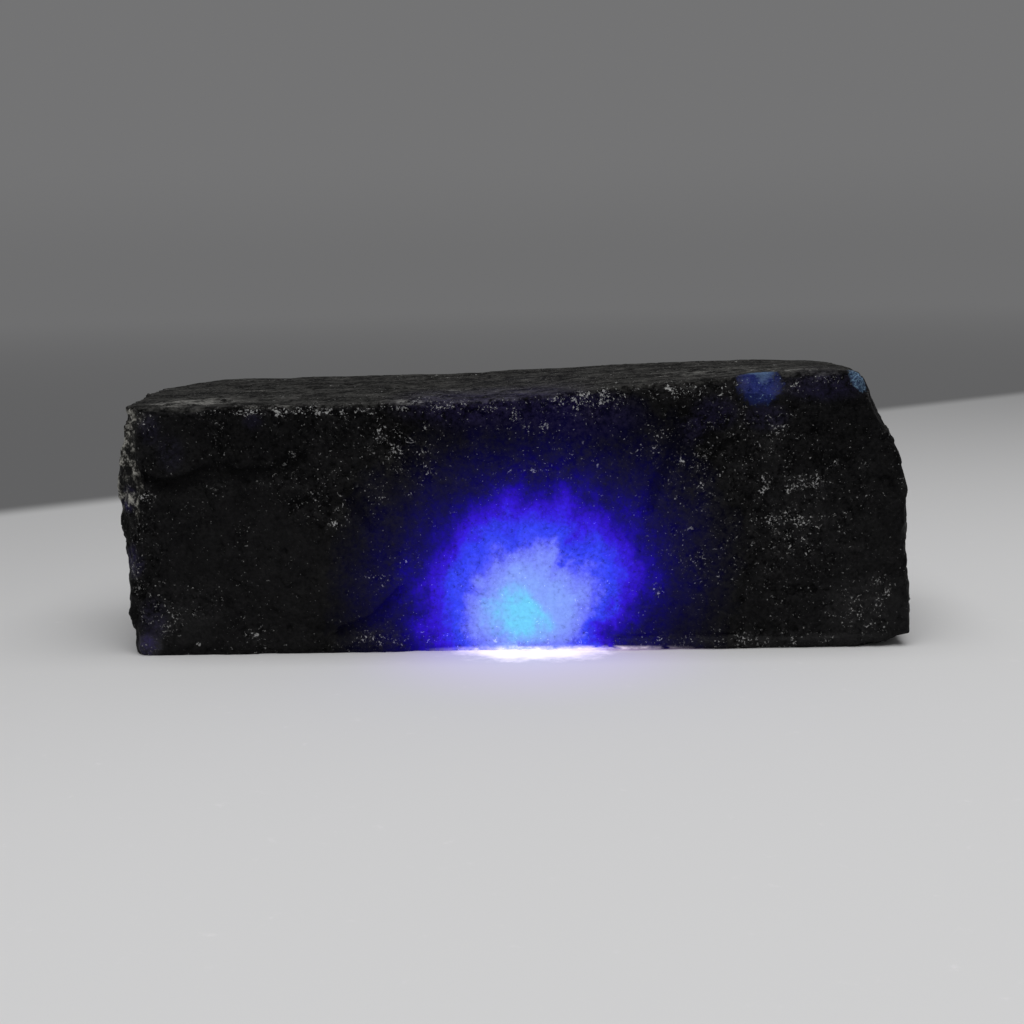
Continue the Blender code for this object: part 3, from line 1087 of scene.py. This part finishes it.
def inner_light(finish, place, settings, upward, mottle, grit, white):
    """The light of a torch behind the stone, as emission that goes by distance from its middle."""
    middle = Vector(settings.light_place) / MM
    half_depth = (STONE_HIGH.y - STONE_LOW.y) / 2.0 / MM - FRONT_WEAR
    upright = finish.vector("MULTIPLY", place, (1.25, 1.0, 0.70))
    billow = finish.noise(upright, 4.4, 4.0, 0.65) - 0.5
    ragged = mottle - 0.5
    away = finish.vector("SUBTRACT", place, tuple(middle))
    squared = finish.length(away).math("POWER", 2.0) - half_depth * half_depth
    reach = squared.at_least(0.0).math("SQRT")
    lobe = finish.vector("SUBTRACT", place, LOBE_PLACE)
    lobe = finish.vector("MULTIPLY", lobe, LOBE_SQUASH)
    reach = reach.math("SMOOTH_MIN", finish.length(lobe) + 4.6, 1.2)
    bay = finish.patch(place, *BAY)
    upright_crack = finish.turned(place, CRACK_LEAN, CRACK_PLACE)
    crack = finish.patch(upright_crack, CRACK_PLACE, CRACK_SIZE)
    reach = reach + bay * 1.3 + crack * (ragged * 6.0 + 1.5).at_least(0.0) + 0.35
    spread = reach.step(1.5, 9.0)
    reach = reach + spread * (billow * 6.0 + ragged * 4.4)
    across = finish.separated(place)
    height = across.of("Z")
    # Its outskirts end sooner where this is more than 0 and reach further where it is less.
    shortened = (across.step(-7.0, 11.0) * 1.8 - 1.4) * height.step(15.0, 7.0)
    shortened = shortened + height.step(11.0, 1.5) * 2.2
    shortened = shortened - across.step(-12.0, -2.0) * 0.75 + across.step(4.0, 14.0) * 0.7
    reach = reach + reach.step(7.0, 11.0) * shortened
    bands = [(distance / GLOW_END, colour) for distance, colour in GLOW_BANDS]
    light = finish.node(
        "ShaderNodeValToRGB", {"stops": bands}, {"Fac": reach / GLOW_END}
    )
    core = finish.vector("SUBTRACT", place, CORE_PLACE)
    core = finish.vector("MULTIPLY", core, CORE_SQUASH)
    core = (finish.length(core) - ragged * 0.8 - billow * 0.8).step(1.15, 0.15)
    edge = finish.beyond(place, *CORE_EDGE)
    core = core * (edge + ragged * 1.8).step(0.60, -0.60)
    light = finish.mix((core + ragged * 1.2 * core) * 0.95, light, settings.core)
    veins = (finish.noise(place, 2.6, 3.0, 0.6) - 0.5).math("ABSOLUTE").step(0.028, 0.0)
    dim = veins * 0.22 * reach.step(4.0, 8.0) + grit.step(0.60, 0.74) * (spread * 0.34 + 0.10)
    strength = ((0.5 - grit) * (spread * 0.7 + 0.6) + 1.0) * (1.0 - dim) + white * 0.9
    hidden = upward.step(0.35, 0.8) * 0.88
    light = finish.scaled(light, (strength * (1.0 - hidden)).at_least(0.0))
    seep = finish.patch(place, (SEEP_ACROSS, STONE_LOW.y / MM, SEEP_HEIGHT), SEEP_SIZE)
    seep = seep * (ragged * 3.0 + 0.55).at_least(0.0)
    return finish.vector("ADD", light, finish.scaled(tuple(settings.seep), seep))


def blue_flake(finish, place, colour, lively, fine, settings, flake):
    """Lays a clean blue flake over a colour: a pale crown that is a painted highlight on its upper
    rim, greyer sides and fine frosted grain.
    """
    x, y, z, wide, deep, high, lean, frosting, rim_highlight_strength = flake
    away = finish.vector("SUBTRACT", place, (x, y, z))
    turned = finish.turned(away, math.radians(lean))
    shares = finish.vector("DIVIDE", turned, (wide, deep, high))
    inside = (finish.length(shares) + lively * 0.24).step(1.14, 0.80)
    across = finish.separated(shares)
    side = (across.math("ABSOLUTE") + lively * 0.4).step(0.35, 0.95) * (0.8 - 0.8 * frosting)
    rim = across.of("Y") - (across - 0.1).math("ABSOLUTE") * 0.35
    # Painted highlight: the pale crown along the upper rim of the flake.
    rim_highlight = (rim + lively * 0.10).step(0.42, 0.66) * rim_highlight_strength
    frost = ((fine - 0.5) * 8.0 + 1.6 * (frosting - 0.6)).step(0.1, 0.9)
    pale = rim_highlight.at_least(frost).at_least(0.2 * frosting)
    pool = finish.mix(side, settings.blue, settings.flake_side)
    depth = (across.of("Z") + lively * 0.2).step(-0.35, -1.0) * 0.30
    pool = finish.scaled(pool, (lively * 0.4 + 1.0) * (1.0 - depth))
    frosted_ground = tuple(0.15 * share for share in settings.pale_blue_and_highlight)
    pool = finish.mix(0.8 * frosting, pool, frosted_ground)
    return finish.mix(inside, colour, finish.mix(pale, pool, settings.pale_blue_and_highlight))


def new_finish(name):
    """A new material that lights nothing by itself, its finish, and places on its object."""
    material = bpy.data.materials.new(name)
    material.cycles.emission_sampling = "NONE"
    finish = Finish(material)
    return material, finish, finish.node("ShaderNodeTexCoord", None, None, "Object")


def stone_finish(settings):
    """The finish of the whole stone."""
    material, finish, own = new_finish("Rough sapphire")
    place = finish.scaled(own, 1.0 / MM)
    upward, hollow_shade, dusty, tone_and_floor_light, violet, crust, swept = (
        finish.attribute(name) for name in SKIN_LAYERS
    )

    mottle = finish.noise(place, 1.6, 4.0, 0.65)
    grit = finish.noise(place, 0.5, 3.0, 0.65)
    lively = (mottle - 0.5) * 2.4 + (grit - 0.5) * 3.0
    top = (upward + (mottle - 0.5) * 0.5 + (grit - 0.5) * 0.5).step(0.58, 0.84)

    ground = tone_and_floor_light + lively * (dusty * 0.80 + 0.20)
    colour = finish.mix(ground, settings.body, settings.bruise)

    fine = finish.noise(place, 0.30, 2.0, 0.7)
    lengthwise = finish.vector("MULTIPLY", place, (0.6, 1.0, 0.6))
    marks = finish.noise(lengthwise, 2.2, 4.0, 0.65) - 0.5
    dragged = swept * (marks * 4.0 + lively * 1.2 + 0.20).at_least(0.0)
    grained = (fine + marks * 0.5).step(0.58, 0.74) * (swept * 1.3 + 0.10)
    powdered = marks * 0.60 + lively * 0.22 + tone_and_floor_light * 0.25 + 0.040 + dragged + grained
    sawn_top = finish.mix(powdered, settings.sawn, settings.streak)
    colour = finish.mix(top, colour, sawn_top)

    tint = (violet * (lively * 1.6 + 1.0)).at_least(0.0)
    colour = finish.vector("ADD", colour, finish.scaled(tuple(settings.violet), tint))

    for flake in BLUE_FLAKES:
        colour = blue_flake(finish, place, colour, lively, fine, settings, flake)

    share = dusty * 0.75 + 0.02
    sway = finish.vector("SUBTRACT", finish.noise(place, 0.45, 2.0).of("Color"), (0.5, 0.5, 0.5))
    bent = finish.vector("ADD", place, finish.scaled(sway, 0.9))
    motes = finish.dust(bent, 0.42, 0.15, share)
    grains = finish.dust(bent, 0.85, 0.24, share * 0.60)
    lumps = finish.dust(bent, 1.9, 0.36, share * 0.30 + 0.03)
    slivers = finish.shards(bent, 1.25, 0.36, 0.09, dusty * 0.3)
    powder = (fine + dusty * 0.15).step(0.685, 0.79)
    glints = motes * 0.60 + grains * 0.85
    white = glints.at_least(lumps).at_least(slivers * 0.6).at_least(powder * 0.75)
    colour = finish.mix((white * 0.85).math("MINIMUM", 1.0), colour, settings.fleck)

    crumbs = finish.noise(finish.vector("MULTIPLY", place, (1.0, 0.4, 1.0)), 0.60, 3.0, 0.65)
    crumbly = (crumbs - 0.5) * 5.0 + (fine - 0.5) * 1.5
    scab = (crumbly + crust * 0.75).step(0.20, 1.60) * crust.step(0.0, 0.5)
    colour = finish.mix(crust.step(0.0, 0.6) * 0.75, colour, settings.rind_shade)
    colour = finish.mix(scab, colour, settings.rind)

    # Painted shade: pits and cracks darkened by their depth.
    colour = finish.mix(hollow_shade.step(0.05, 0.50) * 0.6, colour, settings.hollow_shade)

    roughness = 0.42 + mottle * 0.24 + white * 0.2 + top * 0.2
    bump = finish.node(
        "ShaderNodeBump",
        None,
        {"Strength": 0.9, "Distance": 0.25 * MM, "Height": grit * 1.1 + mottle * 0.9},
    )
    shader = finish.node(
        "ShaderNodeBsdfPrincipled",
        None,
        {
            "Base Color": colour,
            "Roughness": roughness,
            "Specular IOR Level": 0.05,
            "Emission Color": inner_light(finish, place, settings, upward, mottle, grit, white),
            "Emission Strength": 1.0,
            "Normal": bump,
        },
    )
    finish.node("ShaderNodeOutputMaterial", None, {"Surface": shader})
    return material


def stage_finish(settings):
    """A pale floor with torchlight spilt on it and painted shade towards the slanted line where it
    passes into the grey of the backdrop.
    """
    material, finish, own = new_finish("Pale floor")
    beyond = finish.beyond(own, *FLOOR_EDGE)
    far = beyond.step(-0.004, 0.012).at_least(finish.length(own).step(0.9, 1.5))
    place = finish.scaled(own, 1.0 / MM)
    wisps = (finish.noise(place, 3.0, 4.0, 0.7) - 0.5) * 1.3
    bright = finish.patch(place, *SPILL) + wisps
    haze = finish.patch(place, *HAZE)
    spill = finish.vector(
        "ADD",
        finish.scaled(tuple(settings.spill), bright.step(0.15, 1.0)),
        finish.scaled(tuple(settings.spill_haze), haze),
    )
    # Painted shade: the floor darkens by up to 13 % towards the slanted line where it meets the
    # backdrop.
    painted_floor_shade = beyond.step(-0.20, -0.02) * 0.13
    cloth = finish.node(
        "ShaderNodeBsdfPrincipled",
        None,
        {
            "Base Color": finish.mix(painted_floor_shade, settings.floor, SHADE_BLACK),
            "Roughness": 1.0,
            "Specular IOR Level": 0.0,
            "Emission Color": spill,
            "Emission Strength": 1.0,
        },
    )
    receding = finish.length(own).step(0.25, 1.45)
    grey = finish.mix(receding, settings.backdrop, settings.horizon)
    grey = finish.node("ShaderNodeEmission", None, {"Color": grey})
    shown = finish.node("ShaderNodeMixShader", None, {0: far, 1: cloth, 2: grey})
    finish.node("ShaderNodeOutputMaterial", None, {"Surface": shown})
    return material


class SAPPHIRE_OT_shape_stone(Operator):
    """Model the worn skin of the stone around its solid"""

    bl_idname = "sapphire.shape_stone"
    bl_label = "Shape the stone"

    def execute(self, context):
        shape = context.scene.sapphire_shape
        piece = fine_copy(NODE, shape)
        roughen(piece, shape)
        thinned(piece, shape.triangles)
        piece.data.materials.clear()
        piece.data.materials.append(stone_finish(context.scene.sapphire_finish))
        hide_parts(NODE)
        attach(piece, BODY)
        return {"FINISHED"}


class SAPPHIRE_OT_set_stage(Operator):
    """Lay the floor and set the backdrop, the lamp and the camera"""

    bl_idname = "sapphire.set_stage"
    bl_label = "Set the stage"

    def execute(self, context):
        stage = context.scene.sapphire_stage
        self.lay_floor(context, stage)
        self.hang_backdrop(context, stage)
        self.hang_lamp(context, stage)
        self.place_camera(context, stage)
        context.scene.view_settings.view_transform = "Standard"
        return {"FINISHED"}

    def lay_floor(self, context, stage):
        square = bmesh.new()
        bmesh.ops.create_grid(square, x_segments=1, y_segments=1, size=stage.floor_size / 2.0)
        bmesh.ops.translate(square, verts=square.verts, vec=(0.0, 0.0, -FLOOR_DROP))
        mesh = bpy.data.meshes.new("floor")
        square.to_mesh(mesh)
        square.free()
        floor = bpy.data.objects.new("floor", mesh)
        mesh.materials.append(stage_finish(stage))
        context.scene.collection.objects.link(floor)

    def hang_backdrop(self, context, stage):
        world = bpy.data.worlds.new("Backdrop")
        finish = Finish(world)
        way = finish.node("ShaderNodeTexCoord", None, None, "Generated")
        rise = finish.separated(way).of("Z").step(0.0, 0.07)
        grey = finish.mix(rise, stage.horizon, stage.wall_top)
        shader = finish.node("ShaderNodeBackground", None, {"Color": grey})
        finish.node("ShaderNodeOutputWorld", None, {"Surface": shader})
        context.scene.world = world

    def hang_lamp(self, context, stage):
        box = bpy.data.lights.new("Soft box", "AREA")
        box.energy = stage.lamp_power
        box.size = stage.lamp_size
        overhead = bpy.data.objects.new("Soft box", box)
        overhead.location = stage.lamp_place
        overhead.rotation_euler = stage.lamp_lean
        context.scene.collection.objects.link(overhead)

    def place_camera(self, context, stage):
        lens = bpy.data.cameras.new("Camera")
        lens.angle = stage.field_of_view
        lens.clip_start = 10.0 * MM
        camera = bpy.data.objects.new("Camera", lens)
        camera.location = stage.camera_place
        gaze = Vector(stage.camera_aim) - Vector(stage.camera_place)
        camera.rotation_mode = "QUATERNION"
        lean = Quaternion((0.0, 0.0, 1.0), stage.camera_roll)
        camera.rotation_quaternion = gaze.to_track_quat("-Z", "Y") @ lean
        context.scene.collection.objects.link(camera)
        context.scene.camera = camera


class SAPPHIRE_PT_workshop(Panel):
    """Lists the sizes and colours, and the buttons that build the stone and its stage"""

    bl_label = "Rough Sapphire"
    bl_idname = "SAPPHIRE_PT_workshop"
    bl_space_type = "VIEW_3D"
    bl_region_type = "UI"
    bl_category = "Sapphire"

    def draw(self, context):
        scene = context.scene
        for settings in (scene.sapphire_shape, scene.sapphire_finish, scene.sapphire_stage):
            box = self.layout.box()
            for name in settings.__annotations__:
                box.prop(settings, name)
        self.layout.operator(SAPPHIRE_OT_shape_stone.bl_idname)
        self.layout.operator(SAPPHIRE_OT_set_stage.bl_idname)


CLASSES = (
    SapphireShape,
    SapphireFinish,
    SapphireStage,
    SAPPHIRE_OT_shape_stone,
    SAPPHIRE_OT_set_stage,
    SAPPHIRE_PT_workshop,
)


def register():
    for cls in CLASSES:
        bpy.utils.register_class(cls)
    bpy.types.Scene.sapphire_shape = PointerProperty(type=SapphireShape)
    bpy.types.Scene.sapphire_finish = PointerProperty(type=SapphireFinish)
    bpy.types.Scene.sapphire_stage = PointerProperty(type=SapphireStage)


def unregister():
    del bpy.types.Scene.sapphire_stage
    del bpy.types.Scene.sapphire_finish
    del bpy.types.Scene.sapphire_shape
    for cls in reversed(CLASSES):
        bpy.utils.unregister_class(cls)


def main():
    """Builds the stone and its stage."""
    register()
    bpy.ops.sapphire.shape_stone()
    bpy.ops.sapphire.set_stage()


if __name__ == "__main__":
    main()
